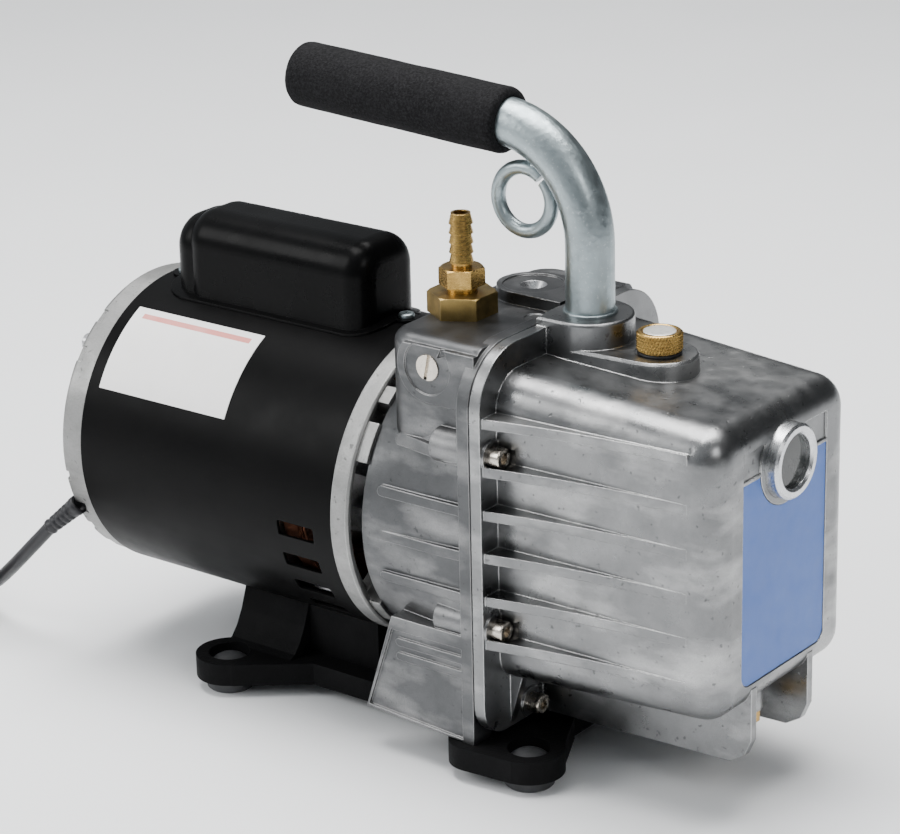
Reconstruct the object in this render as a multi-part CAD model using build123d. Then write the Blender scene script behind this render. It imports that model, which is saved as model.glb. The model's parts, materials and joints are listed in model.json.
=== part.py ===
from build123d import *
import os
from math import cos, pi, radians, sin, sqrt, tan

# Two-stage rotary vane vacuum pump with its induction motor, in millimetres.
# +X is the front (oil reservoir), +Z is up, the feet stand on z = 0 and y = 0 is the shaft's
# vertical plane. Every X below is counted from the parting plane between the pump housing and
# the oil reservoir. ORIGIN_X moves the whole pump so that the origin is under its middle.
ORIGIN_X = 62.6
AXIS_Z = 109.6            # height of the shaft

# Motor
SHELL_R = 74.55
SHELL_WALL = 1.5
SHELL_REAR = -232.3
SHELL_FRONT = -76.4
REAR_FACE = -247.0        # outer face of the rear end shield
SHIELD_R = 73.4
SWITCH_Z = 157.5          # centre of the start switch on the rear face
VENT_ANGLES = (97, 110.5, 124, 137)     # from the top, down each side
BOLT_ANGLES = (45, 135, 225, 315)
BOLT_RING_R = 66.0
STACK_X = (-190.0, -120.0)              # laminations
AIR_GAP = 0.5
ROTOR_CORE_R = 36.5
SHAFT_R = 8.5
COVER_X = (-217.0, -97.0)               # capacitor cover
COVER_SCREWS = ((-90.0, 2.0), (-224.0, -2.0))
BEARING_X = (-241.0, -86.0)             # rear face of each bearing
BEARING_W = 12.0
BEARING_R = 20.0
BALL_R = 2.9
BALL_RING_R = 14.25
BALL_COUNT = 8
RUNNING_GAP = 0.05

# Pump housing and oil reservoir
RIM_X = -61.0             # round rear rim of the housing
RIM_R = 70.8
FLANGE_T = 6.3
FLANGE_Y = 70.1
FLANGE_TOP = 204.2
FLANGE_BOTTOM = 21.2
FLANGE_CORNER_R = 28.0
SKIRT_BOTTOM = 17.5
GASKET_T = 0.8
BOX_FRONT = 119.0
BOX_TOP = (192.2, 184.2)                # at the flange, at the front
BOX_BOTTOM = (45.2, 50.2)
BOX_Y = (58.0, 54.5)
WALL = 4.5
RIB_T = 4.6
RIB_LEVELS = (173.2, 150.7, 130.2, 109.8, 89.2, 68.2)
SCREW_SPOTS = ((62.0, 156.7), (62.0, 74.2), (35.0, 28.2))
TUBE_X = 16.3
TUBE_R = 11.1
TUBE_BORE_R = 9.3
BOSS_TOP = 208.2
CAP_X = 53.4
CAP_PAD_TOP = 196.2
CAP_PAD_R = 17.6
GLASS_Z = 159.7
PLATE_Y = 33.7
PLATE_Z = (62.9, 157.5)
INTAKE = (-40.0, -20.0)
TOP_FACE = 203.0
BALLAST = (-28.0, 190.7)                # x, z on the near side
TOP_PAD = (-28.0, 18.0)                 # x, y on the top

# Pumping cartridge inside the reservoir
BORE_R = 26.0
ECCENTRICITY = 4.0
ROTOR_R = 21.95
STAGES = ((0.0, 30.0), (37.0, 52.0))    # first stage, second stage
PLATE_END = 60.0
VANE_T = 4.1
VANE_SLOT_T = 4.2
VANE_HEIGHT = 10.5
VANE_TIP = 21.8
SLOT_FLOOR = 8.5
CARTRIDGE_BOLTS = ((20, 34), (110, 34), (200, 34), (290, 34))      # angle from the top, radius

# Handle
BEND_START_Z = 239.2
BEND_R = 50.0
GRIP_RISE = 2.86          # degrees that the grip climbs towards the rear
GRIP_START = -4.4         # along the straight run, counted from the end of the bend
GRIP_LENGTH = 119.0
STRAIGHT_LENGTH = 112.5
GRIP_R = 15.3
RING_CENTRE = (-19.0, 254.2)
RING_R = 14.7
RING_WIRE_R = 3.35

# Base and feet
BASE_BOTTOM = 6.5
ARM_TOP = 17.5
REAR_FOOT = (-159.7, 55.0)
FRONT_FOOT = (21.3, 57.0)
LUG_R = 16.4
FOOT_R = 11.5
LUG_HOLE_R = 10.0

# Power cord
CORD_R = 3.4
COIL_TURN_R = 37.4        # middle of the turns
COIL_LAYERS = 3
COIL_CENTRE = (-362.0, -92.5)
CORD_EXIT = (-245.0, -66.5, 78.2)
CORD_ROUTE = ((-259.0, -72.3, 65.2), (-272.5, -74.5, 51.0), (-289.0, -71.8, 36.0), (-307.5, -65.0, 21.8),
              (-326.5, -57.0, 10.0), (-345.0, -50.5, 3.9), (-362.0, -48.2, 3.6))


def rod(x0, x1, r, y=0.0, z=AXIS_Z):
    """Cylinder along X."""
    return Pos(x0, y, z) * Rot(0, 90, 0) * Cylinder(r, x1 - x0, align=(Align.CENTER, Align.CENTER, Align.MIN))


def post(x, y, z0, z1, r):
    """Cylinder along Z."""
    return Pos(x, y, z0) * Cylinder(r, z1 - z0, align=(Align.CENTER, Align.CENTER, Align.MIN))


def pin_y(x, z, y0, y1, r):
    """Cylinder along Y."""
    return Pos(x, y1, z) * Rot(90, 0, 0) * Cylinder(r, y1 - y0, align=(Align.CENTER, Align.CENTER, Align.MIN))


def block(x0, x1, y0, y1, z0, z1):
    return Pos((x0 + x1) / 2, (y0 + y1) / 2, (z0 + z1) / 2) * Box(x1 - x0, y1 - y0, z1 - z0)


def ring(x0, x1, r_out, r_in):
    return rod(x0, x1, r_out) - rod(x0 - 1, x1 + 1, r_in)


def hexagon(x, y, z0, z1, across_flats):
    outline = Rot(0, 0, 30) * RegularPolygon(across_flats / 2, 6, major_radius=False)
    return Pos(x, y, z0) * extrude(outline, z1 - z0)


def swing(shape, angle):
    """Turns a shape about the shaft, from the top towards -Y."""
    return Pos(0, 0, AXIS_Z) * Rot(angle, 0, 0) * Pos(0, 0, -AXIS_Z) * shape


def around(angle, r):
    """y and z of a point at an angle from the top, towards -Y."""
    return -r * sin(radians(angle)), AXIS_Z + r * cos(radians(angle))


def sector(x0, x1, r_out, r_in, a0, a1):
    """Part of a ring about the shaft between two angles from the top, towards -Y."""
    steps = max(2, int((a1 - a0) / 30) + 2)
    reach = r_out / cos(radians((a1 - a0) / (steps - 1) / 2)) + 1
    fan = [(0, AXIS_Z)] + [around(a0 + (a1 - a0) * i / (steps - 1), reach) for i in range(steps)]
    wedge = extrude(Plane.YZ.offset(x0) * make_face(Polyline(*fan, close=True)), x1 - x0)
    return ring(x0, x1, r_out, r_in) & wedge


def both_sides(shape):
    return shape + mirror(shape, about=Plane.XZ)


def flat_xz(points, y0, y1):
    """Outline in X and Z, from y0 to y1."""
    face = Plane.XZ.offset(-y1) * make_face(Polyline(*points, close=True))
    return extrude(face, y1 - y0)


def flat_xy(points, z0, z1):
    """Outline in X and Y, from z0 to z1."""
    return extrude(Plane.XY.offset(z0) * make_face(Polyline(*points, close=True)), z1 - z0)


def edges_along(shape, axis):
    return shape.edges().filter_by(GeomType.LINE).filter_by(axis)


def save(name, *solids):
    """Writes one node: a solid, or a group of separate solids."""
    moved = []
    for shape in solids:
        moved += [Pos(ORIGIN_X, 0, 0) * s for s in shape.solids()]
    whole = moved[0] if len(moved) == 1 else Compound(children=moved)
    whole.label = name
    export_step(whole, f"parts/{name}.step")
    return whole


# ---------------------------------------------------------------- base and feet

def base_frame():
    x_rear, y_rear = REAR_FOOT
    x_front, y_front = FRONT_FOOT
    rail_y = 43.0
    lugs = post(x_rear, -y_rear, BASE_BOTTOM, ARM_TOP, LUG_R)
    lugs += post(x_front, -y_front, BASE_BOTTOM, ARM_TOP, LUG_R)
    slope = ((-47, ARM_TOP), (-43.5, 19.3), (-39.5, 24), (-35.5, 31.5), (-31, 44), (0, 44), (0, BASE_BOTTOM),
             (-47, BASE_BOTTOM))
    web = extrude(Plane.YZ.offset(-168) * make_face(Polyline(*slope, close=True)), 40)
    rail = flat_xy(((-168, -68), (-159.7, -y_rear - LUG_R), (-148, -67), (-117, -rail_y), (-12, -rail_y),
                    (-12, -30), (-150, -30)), BASE_BOTTOM, ARM_TOP)
    ear_r = 13.5
    ear_x = -4.0
    ear = post(ear_x, -62.0, BASE_BOTTOM, ARM_TOP, ear_r)
    ear += flat_xy(((ear_x, -62 - ear_r), (x_front + 2, -y_front - LUG_R), (x_front + LUG_R - 0.4, -y_front + 2),
                    (20, -20), (-25, -20), (ear_x - ear_r, -60)), BASE_BOTTOM, ARM_TOP)
    side = both_sides(lugs + web + rail + ear)
    saddle = block(-160, -86, -31, 31, BASE_BOTTOM, 60)
    spine = block(-90, 18, -24, 24, BASE_BOTTOM, ARM_TOP)
    pedestal = block(-52, -14, -34, 34, BASE_BOTTOM, 60)
    body = side + saddle + spine + pedestal
    body -= rod(-300, SHELL_FRONT + 12, SHELL_R)
    body -= housing_form(RIM_R, 67.0, 40.0)
    body -= block(-149, -92, -27, 27, 0, 26)
    body -= block(-46, -20, -27, 27, 0, 28)
    for x, y in (REAR_FOOT, FRONT_FOOT):
        for s in (-1, 1):
            body -= post(x, s * y, BASE_BOTTOM + 3, 60, LUG_HOLE_R)
            body -= post(x, s * y, 0, 20, 6.0)
    return body


def rubber_feet():
    feet = []
    for x, y in (REAR_FOOT, FRONT_FOOT):
        for s in (-1, 1):
            foot = post(x, s * y, 0, BASE_BOTTOM, FOOT_R)
            foot = chamfer(foot.edges().sort_by(Axis.Z)[:1], 0.8)
            foot += post(x, s * y, BASE_BOTTOM - 1, BASE_BOTTOM + 4, 6.0)
            dome_z = BASE_BOTTOM + 3
            dome = Pos(x, s * y, dome_z - 5.7) * Sphere(13.0) & post(x, s * y, dome_z, dome_z + 9, 9.2)
            feet.append(foot + dome)
    return feet


# ---------------------------------------------------------------- motor

def motor_shell():
    shell = ring(SHELL_REAR, SHELL_FRONT, SHELL_R, SHELL_R - SHELL_WALL)
    slot = Pos(-98.2, 0, AXIS_Z + SHELL_R) * Box(21.5, 7.5, 12)
    slot = fillet(edges_along(slot, Axis.Z), 1.0)
    for a in VENT_ANGLES:
        shell -= swing(slot, a)
        shell -= swing(slot, -a)
    return shell


def rear_end_shield():
    inner = SHELL_R - SHELL_WALL - 0.05
    cup = rod(REAR_FACE, SHELL_REAR, SHIELD_R)
    cup = fillet(cup.edges().sort_by(Axis.X)[:1], 3.0)
    cup += ring(SHELL_REAR, SHELL_REAR + 6, inner, inner - 4)
    cup -= rod(REAR_FACE + 6, 0, inner - 4)
    cup += rod(REAR_FACE, BEARING_X[0] + BEARING_W, BEARING_R + 5)
    cup -= rod(BEARING_X[0], 0, BEARING_R)
    for k in range(16):
        a = 22.5 * k
        if a < 30 or a > 330:
            continue
        vent = sector(REAR_FACE - 1, REAR_FACE + 7, 58, 32, a - 5, a + 5)
        cup -= vent
    notch = Pos(REAR_FACE, 0, AXIS_Z + SHIELD_R) * Box(9, 8, 5)
    for a in (35, 52, 128, 142):
        cup -= swing(notch, a)
        cup -= swing(notch, -a)
    cup -= swing(Pos(REAR_FACE, 0, AXIS_Z + SHIELD_R) * Box(7, 5, 20), 101)
    for a in BOLT_ANGLES:
        y, z = around(a, BOLT_RING_R)
        cup += rod(REAR_FACE + 5, SHELL_REAR, 5.5, y, z)
        cup -= rod(-300, 0, 2.6, y, z)
    x, y, z = CORD_EXIT
    cup -= rod(REAR_FACE - 1, REAR_FACE + 8, 5.5, y + 4.5, z + 1.5)
    cup -= block(REAR_FACE - 1, REAR_FACE + 12, -10.8, 10.8, SWITCH_Z - 15.3, SWITCH_Z + 15.3)
    return cup


def front_end_shield():
    inner = SHELL_R - SHELL_WALL - 0.05
    rim = ring(SHELL_FRONT, SHELL_FRONT + 9.5, SHELL_R, 70.5)
    rim = chamfer(rim.edges().sort_by(Axis.X)[-2:], 1.0)
    spigot = ring(SHELL_FRONT - 6, SHELL_FRONT, inner, inner - 4)
    web = rod(SHELL_FRONT, SHELL_FRONT + 5, 71.5)
    for a0, a1 in ((66, 124), (-124, -66), (-30, 30), (143, 217)):
        web -= sector(SHELL_FRONT - 1, SHELL_FRONT + 6, 67, 34, a0, a1)
    hub = rod(BEARING_X[1] - 3, SHELL_FRONT + 5, BEARING_R + 5)
    shield = rim + spigot + web + hub
    for mid, half in ((39, 3.5), (58, 7.5), (131, 6.5)):
        for s in (-1, 1):
            pad = sector(SHELL_FRONT + 3, RIM_X, 72.6, 59, s * mid - half, s * mid + half)
            shield += pad
    shield -= rod(BEARING_X[1], BEARING_X[1] + BEARING_W, BEARING_R)
    shield -= rod(-100, -40, 13)
    for a in BOLT_ANGLES:
        y, z = around(a, BOLT_RING_R)
        shield -= rod(-90, SHELL_FRONT + 4, 2.6, y, z)
    return shield


def motor_through_bolts():
    bolts = []
    for a in BOLT_ANGLES:
        y, z = around(a, BOLT_RING_R)
        bolt = rod(REAR_FACE, SHELL_FRONT + 4, 2.5, y, z)
        head = rod(REAR_FACE - 3.5, REAR_FACE, 4.2, y, z)
        bolts.append(bolt + head)
    return bolts


def stator():
    """Laminations with slots, and the windings that fill the slots and turn back at both ends."""
    x0, x1 = STACK_X
    bore = ROTOR_CORE_R + AIR_GAP
    stack = ring(x0, x1, SHELL_R - SHELL_WALL, bore)
    coils = ring(x0 - 13, x0, 61, 43) + ring(x1, x1 + 13, 61, 43)
    coils = fillet(coils.edges().filter_by(GeomType.CIRCLE), 3.0)
    slots = 24
    for k in range(slots):
        bar = swing(block(x0, x1, -2.2, 2.2, AXIS_Z + 42, AXIS_Z + 58), 360 / slots * k)
        stack -= bar
        coils += bar
    for a in BOLT_ANGLES:
        y, z = around(a, BOLT_RING_R)
        stack -= rod(x0 - 1, x1 + 1, 3.0, y, z)
    return stack, coils


def motor_rotor():
    x0, x1 = STACK_X
    core = ring(x0, x1, ROTOR_CORE_R, SHAFT_R)
    for a, b in ((x0 - 7, x0), (x1, x1 + 7)):
        cage = ring(a, b, ROTOR_CORE_R - 1.5, 24)
        tip = b + 6 if a == x1 else a - 6
        for k in range(6):
            blade = block(min(a, tip), max(b, tip), -1.2, 1.2, AXIS_Z + 25, AXIS_Z + 34)
            cage += swing(blade, 60 * k)
        core += cage
    return core


def motor_shaft():
    shaft = rod(BEARING_X[0], -46.0, SHAFT_R)
    return chamfer(shaft.edges().filter_by(GeomType.CIRCLE), 0.6)


def cooling_fan():
    fan = ring(-224, -210, 15, SHAFT_R)
    fan += ring(-213, -210, 34, 14)
    for k in range(9):
        fan += swing(block(-224, -210, -1, 1, AXIS_Z + 14, AXIS_Z + 60), 40 * k)
    return fan


def centrifugal_switch():
    hub = ring(-208.5, -204.5, 22, SHAFT_R)
    for s in (0, 180):
        hub += swing(block(-206.5, -204, -9, 9, AXIS_Z + 16, AXIS_Z + 27), s)
    return hub


def bearings():
    outer, inner, balls = [], [], []
    for x in BEARING_X:
        mid = x + BEARING_W / 2
        groove = Pos(mid, 0, AXIS_Z) * Rot(0, 90, 0) * Torus(BALL_RING_R, BALL_R + 0.1)
        outer.append(ring(x, x + BEARING_W, BEARING_R, 16.4) - groove)
        inner.append(ring(x, x + BEARING_W, 12.1, SHAFT_R) - groove)
        for k in range(BALL_COUNT):
            y, z = around(360 / BALL_COUNT * k, BALL_RING_R)
            balls.append(Pos(mid, y, z) * Sphere(BALL_R))
    return outer, inner, balls


def cover_form(inset):
    """Barrel-topped case of the capacitor, with a lower step at its rear end."""
    form = None
    rear, front = COVER_X
    for x0, x1, y_half, top in ((rear + 9, front, 22.0, 222.6), (rear, rear + 40, 20.6, 219.4)):
        y = y_half - inset
        part = block(x0 + inset, x1 - inset, -y, y, 150, top - inset)
        part = fillet(edges_along(part, Axis.X).sort_by(Axis.Z)[-2:], 16.0 - inset)
        part = fillet(part.faces().sort_by(Axis.X)[-1].edges().sort_by(Axis.Z)[1:], 11.0 - inset)
        part = fillet(part.faces().sort_by(Axis.X)[0].edges().sort_by(Axis.Z)[1:], 11.0 - inset)
        form = part if form is None else form + part
    return form


def capacitor_cover():
    wall = 1.2
    x0, x1 = COVER_X
    body = cover_form(0.0)
    core = cover_form(wall) - block(-300, 0, -50, 50, 0, 160)
    brim = block(x0 - 6, x1 + 6, -25, 25, 160, 200)
    brim = fillet(edges_along(brim, Axis.Z), 17.0)
    for x, y in COVER_SCREWS:
        brim += post(x, y, 160, 200, 6.5)
        brim += block(min(x, -150), max(x, -150), y - 6.5, y + 6.5, 160, 200)
    brim &= ring(-231, -78, SHELL_R + wall, SHELL_R)
    cover = body + brim - core
    return cover - rod(-300, 0, SHELL_R)


def cover_screws():
    screws = []
    for x, y in COVER_SCREWS:
        base_z = AXIS_Z + sqrt((SHELL_R + 1.2) ** 2 - y ** 2) - 0.4
        head = post(x, y, base_z, base_z + 2.4, 3.9)
        head = fillet(head.edges().sort_by(Axis.Z)[-1:], 1.2)
        for turn in (20, 110):
            head -= Pos(x, y, base_z + 2.4) * Rot(0, 0, turn) * Box(4.6, 0.9, 1.6)
        screws.append(head)
    return screws


def motor_sticker():
    patch = sector(-225, -145.5, SHELL_R + 0.3, SHELL_R, 28, 63)
    return patch


# ---------------------------------------------------------------- pump housing

def flange_outline(x, bottom, corner_r, grow=0.0):
    """Face of the flange: round upper corners, and lower corners of the given radius."""
    y, top, r = FLANGE_Y + grow, FLANGE_TOP + grow, FLANGE_CORNER_R + grow
    mid = (top + bottom) / 2
    plate = Plane.YZ.offset(x) * Pos(0, mid) * Rectangle(2 * y, top - bottom)
    face = fillet(plate.vertices().sort_by(Axis.Z)[-2:], r)
    if corner_r:
        face = fillet(face.vertices().sort_by(Axis.Z)[:2], corner_r)
    return face


def housing_form(rim_r, half, corner_r):
    """Body that changes from a circle at the rim to a rounded square at the flange."""
    rim = Plane.YZ.offset(RIM_X) * Pos(0, AXIS_Z) * Circle(rim_r)
    square = Plane.YZ.offset(-FLANGE_T) * Pos(0, AXIS_Z + 3) * RectangleRounded(2 * half, 2 * half + 12, corner_r)
    return loft([rim, square])


def pump_housing():
    body = housing_form(RIM_R, 67.0, 40.0)
    rib_form = housing_form(RIM_R + 1.6, 69.6, 41.0)
    ribs = ((153.7, -45.0), (130.0, -50.0), (108.6, -52.0), (88.5, -50.0))
    for z, x in ribs:
        bar = block(x, -3, -90, 90, z - 2.4, z + 2.4) + pin_y(x, z, -90, 90, 2.4)
        body += rib_form & bar & block(-100, 0, -FLANGE_Y, FLANGE_Y, 0, 300)
    flange = extrude(flange_outline(-FLANGE_T, SKIRT_BOTTOM, 0), FLANGE_T)
    flange -= block(-10, 5, -57, 57, 0, FLANGE_BOTTOM)
    body += flange

    head = block(-55, -2, -60.5, 60.5, 140, TOP_FACE)
    head = fillet(edges_along(head, Axis.Z).sort_by(Axis.X)[:2], 15.0)
    head = fillet(head.faces().sort_by(Axis.Z)[-1].edges().sort_by(Axis.X)[:-1], 6.0)
    body += head

    x, z = BALLAST
    pad = pin_y(x, z, -62.6, -56, 16.5) + block(x, -2, -62.6, -56, z - 16.5, z + 16.5)
    pad &= block(-70, 0, -80, 0, 150, TOP_FACE - 2.5)
    body += pad
    body -= pin_y(x, z, -70, -61.8, 12.6)
    body -= flat_xz(((x + 5, z + 5), (x + 11, z + 8), (x + 8, z + 11)), -63, -60.8)
    x, y = TOP_PAD
    pad = post(x, y, 190, 208.7, 17.0) + block(x, -1, y - 17, y + 17, 190, 208.7)
    body += pad
    body -= post(x, y, 207.8, 220, 14.2)

    skirt = flat_xz(((-46, 70), (-62, 21.2), (-1, SKIRT_BOTTOM), (-1, 70)), -FLANGE_Y, -63.5)
    skirt -= flat_xz(((-44, 70), (-60.5, 22.5), (-FLANGE_T, 19), (-FLANGE_T, 70)), -80, -FLANGE_Y + 1.3)
    for z in (58.0, 51.0):
        skirt += block(-42, -3, -FLANGE_Y, -66, z - 1.9, z + 1.9) + pin_y(-42, z, -FLANGE_Y, -66, 1.9)
    skirt += block(-46, -1, -FLANGE_Y, -48, 63.5, 70)
    body += both_sides(skirt)
    for a, front in ((58, -36), (126, -8)):
        for s in (-1, 1):
            y, z = around(s * a, 62.6)
            body += rod(RIM_X, front, 8.2, y, z)
    for y, z in SCREW_SPOTS[:2]:
        for s in (-1, 1):
            body += rod(-22, -3, 8.0, s * y, z) & block(-30, 0, -FLANGE_Y, FLANGE_Y, 0, 250)

    body -= rod(RIM_X - 1, -16, 57)
    body -= rod(-17, -5, 17)
    body -= rod(-6, 1, 8 + RUNNING_GAP)
    x, y = INTAKE
    body -= post(x, y, 187, 220, 9.4)
    body -= post(x, y, 173, 188, 6.0)
    body -= rod(x, 1, 5.0, y, 178.0)
    x, z = BALLAST
    body -= pin_y(x, z, -70, -48, 6.0 + RUNNING_GAP)
    x, y = TOP_PAD
    body -= post(x, y, 196, 220, 6.2)
    for y, z in SCREW_SPOTS:
        for s in (-1, 1):
            body -= rod(-14, 1, 3.1, s * y, z)
    body -= post(-8.0, -8.0, TOP_FACE - 0.5, 220, 5.0)
    return body


def intake_bushing():
    x, y = INTAKE
    bush = hexagon(x, y, TOP_FACE, TOP_FACE + 10.2, 28.0)
    bush &= Pos(x, y, TOP_FACE - 3) * Cone(34.8, 12.3, 15, align=(Align.CENTER, Align.CENTER, Align.MIN))
    bush += post(x, y, 188, TOP_FACE, 9.4)
    bush -= post(x, y, 180, 220, 6.9)
    return bush


def hose_barb():
    x, y = INTAKE
    seat = TOP_FACE + 10.2
    nut = hexagon(x, y, seat + 3, seat + 11.4, 18.4)
    nut &= Pos(x, y, seat) * Cone(26.4, 5.4, 14, align=(Align.CENTER, Align.CENTER, Align.MIN))
    barb = nut + post(x, y, seat - 11, seat + 3.2, 6.9)
    z = seat + 11.0
    barb += post(x, y, z, z + 3, 4.7)
    z += 2.6
    for k in range(5):
        barb += Pos(x, y, z) * Cone(5.55, 4.5, 4.5, align=(Align.CENTER, Align.CENTER, Align.MIN))
        z += 4.5
    barb += post(x, y, z - 0.5, z + 0.4, 4.5)
    barb -= post(x, y, 150, 260, 3.3)
    return barb


def isolation_valve_plug():
    x, y = TOP_PAD
    plug = post(x, y, 196, 207.8, 6.2)
    plug -= Pos(x, y, 203.2) * Cone(2.6, 6.2, 4.7, align=(Align.CENTER, Align.CENTER, Align.MIN))
    plug -= post(x, y, 198, 204, 2.6)
    return plug


def gas_ballast_screw():
    x, z = BALLAST
    screw = pin_y(x, z, -62.3, -49, 6.0)
    screw -= Pos(x, -62.3, z) * Rot(0, 12, 0) * Box(1.7, 3.2, 20)
    return screw


# ---------------------------------------------------------------- oil reservoir

def reservoir_form(inset, x0, x1, r_top, r_bottom, r_front):
    """Drafted box: flat sides that draw in towards the front, with round edges."""
    faces = []
    for k, x in enumerate((x0, x1)):
        top, bottom, y = BOX_TOP[k] - inset, BOX_BOTTOM[k] + inset, BOX_Y[k] - inset
        faces.append(Plane.YZ.offset(x) * Pos(0, (top + bottom) / 2) * Rectangle(2 * y, top - bottom))
    form = loft(faces, ruled=True)
    sides = [e for e in form.edges() if abs(e.tangent_at(0).X) > 0.9]
    sides.sort(key=lambda e: e.center().Z)
    form = fillet(sides[2:], r_top)
    sides = [e for e in form.edges() if abs(e.tangent_at(0).X) > 0.9]
    sides.sort(key=lambda e: e.center().Z)
    form = fillet(sides[:2], r_bottom)
    return fillet(form.faces().sort_by(Axis.X)[-1].edges(), r_front)


def rib_outline(y_out, y_in, x_end):
    """Wedge in plan: wide at the flange, drawn in along a hollow curve to the wall."""
    root, tip = (FLANGE_T - 1, -y_out), (x_end, -BOX_Y[1] - 0.5)
    edge = ThreePointArc(root, (38, -(0.42 * y_out + 0.58 * BOX_Y[0]) + 0.6), tip)
    back = Polyline(tip, (x_end, -y_in), (FLANGE_T - 1, -y_in), root)
    return make_face([edge, *back.edges()])


def oil_reservoir():
    box = reservoir_form(0.0, 2.0, BOX_FRONT, 16.0, 14.0, 13.0)
    flange = extrude(flange_outline(GASKET_T, FLANGE_BOTTOM, 16.0), FLANGE_T - GASKET_T)
    body = box + flange
    for z in RIB_LEVELS:
        rib = extrude(Plane.XY.offset(z - RIB_T / 2) * rib_outline(68.4, 50.0, 104.0), RIB_T)
        body += both_sides(rib)
    for y, z in SCREW_SPOTS:
        for s in (-1, 1):
            seat = rod(FLANGE_T - 2, FLANGE_T + 1, 7.4, s * y, z)
            body += seat & block(0, 20, -FLANGE_Y + 0.4, FLANGE_Y - 0.4, 22, 200)
    skid = flat_xz(((2, 60), (2, 23), (FLANGE_T, 20), (108, 22.5), (115.5, 27), (119, 35), (119, 60)), -25.4, -21.4)
    gusset = flat_xz(((2, 50), (2, FLANGE_BOTTOM + 2), (FLANGE_T, FLANGE_BOTTOM + 2), (14, 50)), -50.5, -46.5)
    body += both_sides(skid + gusset)

    boss = post(TUBE_X, 0, 170, BOSS_TOP, 20.0) + block(GASKET_T, TUBE_X, -20, 20, 170, BOSS_TOP)
    boss = fillet(boss.faces().sort_by(Axis.Z)[-1].edges().sort_by(Axis.X)[1:], 1.5)
    pad = post(CAP_X, 0, 170, CAP_PAD_TOP, CAP_PAD_R)
    pad += flat_xy(((TUBE_X, -20), (CAP_X, -CAP_PAD_R), (CAP_X, CAP_PAD_R), (TUBE_X, 20)), 170, CAP_PAD_TOP)
    pad = chamfer(pad.faces().sort_by(Axis.Z)[-1].edges().sort_by(Axis.X)[1:], 1.0)
    body += boss + pad
    body += Pos(98, 0, 44) * Cylinder(9.5, 14)
    body &= block(GASKET_T, 200, -100, 100, 0, 300)

    body -= reservoir_form(WALL, 0.0, BOX_FRONT - WALL, 11.5, 9.5, 8.5)
    body -= post(TUBE_X, 0, 160, 230, TUBE_R)
    body -= post(CAP_X, 0, 160, 230, 7.9)
    body -= post(CAP_X, 0, CAP_PAD_TOP - 0.6, 230, 11.2)
    body -= Pos(98, 0, 44) * Cylinder(5.0, 40)
    glass_hole = rod(100, 130, 10.5, 0, GLASS_Z)
    body -= glass_hole + rod(BOX_FRONT - 1.5, 130, 17.1, 0, GLASS_Z)
    pocket = block(BOX_FRONT - 1.4, 130, -PLATE_Y - 0.3, PLATE_Y + 0.3, PLATE_Z[0] - 0.3, PLATE_Z[1] + 0.3)
    pocket = fillet(edges_along(pocket, Axis.X).sort_by(Axis.Z)[:2], 6.3)
    fields = block(BOX_FRONT - 0.8, 130, -PLATE_Y, PLATE_Y, PLATE_Z[1] + 1.8, 172)
    body -= (pocket + fields) - rod(100, 140, 20.0, 0, GLASS_Z)
    for y, z in SCREW_SPOTS:
        for s in (-1, 1):
            body -= rod(0, 30, 3.2, s * y, z)
            body -= rod(FLANGE_T + 1, FLANGE_T + 10, 5.4, s * y, z)
    return body


def reservoir_gasket():
    sheet = extrude(flange_outline(0.0, FLANGE_BOTTOM + 0.4, 15.6, -0.4), GASKET_T)
    sheet -= block(-1, 2, -53, 53, 50, 187)
    for y, z in SCREW_SPOTS:
        for s in (-1, 1):
            sheet -= rod(-1, 2, 3.2, s * y, z)
    return sheet


def reservoir_screws():
    screws = []
    for y, z in SCREW_SPOTS:
        for s in (-1, 1):
            x = FLANGE_T + 1
            head = rod(x, x + 6.3, 4.75, s * y, z)
            head = fillet(head.edges().sort_by(Axis.X)[-1:], 0.7)
            socket = RegularPolygon(4.76 / 2, 6, major_radius=False)
            head -= Pos(x + 3.2, s * y, z) * Rot(0, 90, 0) * extrude(socket, 5)
            screws.append(head + rod(-12, x, 3.0, s * y, z))
    return screws


def name_plate():
    plate = block(BOX_FRONT - 1.4, BOX_FRONT - 0.4, -PLATE_Y, PLATE_Y, *PLATE_Z)
    plate = fillet(edges_along(plate, Axis.X).sort_by(Axis.Z)[:2], 6.0)
    return plate - rod(100, 140, 20.3, 0, GLASS_Z)


def sight_glass():
    x = BOX_FRONT
    bezel = rod(x - 1.5, x + 6.0, 17.0, 0, GLASS_Z) - rod(x - 3, x + 9, 12.2, 0, GLASS_Z)
    bezel = chamfer(bezel.edges().sort_by(Axis.X)[-2:], 1.2)
    lens = rod(x - 1.5, x + 2.5, 12.2, 0, GLASS_Z)
    return bezel, lens


def oil_fill():
    """Cap with its stem and a shallow recess on top, and the O-ring under it."""
    seat = CAP_PAD_TOP - 0.6
    head = post(CAP_X, 0, seat + 1.6, seat + 10.6, 10.3)
    head = chamfer(head.edges().filter_by(GeomType.CIRCLE), 0.8)
    cap = head + post(CAP_X, 0, seat - 9, seat + 2, 7.8)
    cap -= post(CAP_X, 0, seat + 10.0, seat + 12, 7.6)
    o_ring = Pos(CAP_X, 0, seat + 0.8) * Torus(9.2, 0.75)
    return cap, o_ring


def drain_plug():
    plug = post(98, 0, 37, 56, 5.0) + hexagon(98, 0, 30, 37, 14)
    return plug


# ---------------------------------------------------------------- handle

def grip_frame():
    """Start of the straight grip and its direction."""
    turn = radians(90 - GRIP_RISE)
    x = TUBE_X - BEND_R + BEND_R * cos(turn)
    z = BEND_START_Z + BEND_R * sin(turn)
    return Vector(x, 0, z), Vector(-cos(radians(GRIP_RISE)), 0, sin(radians(GRIP_RISE)))


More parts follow.
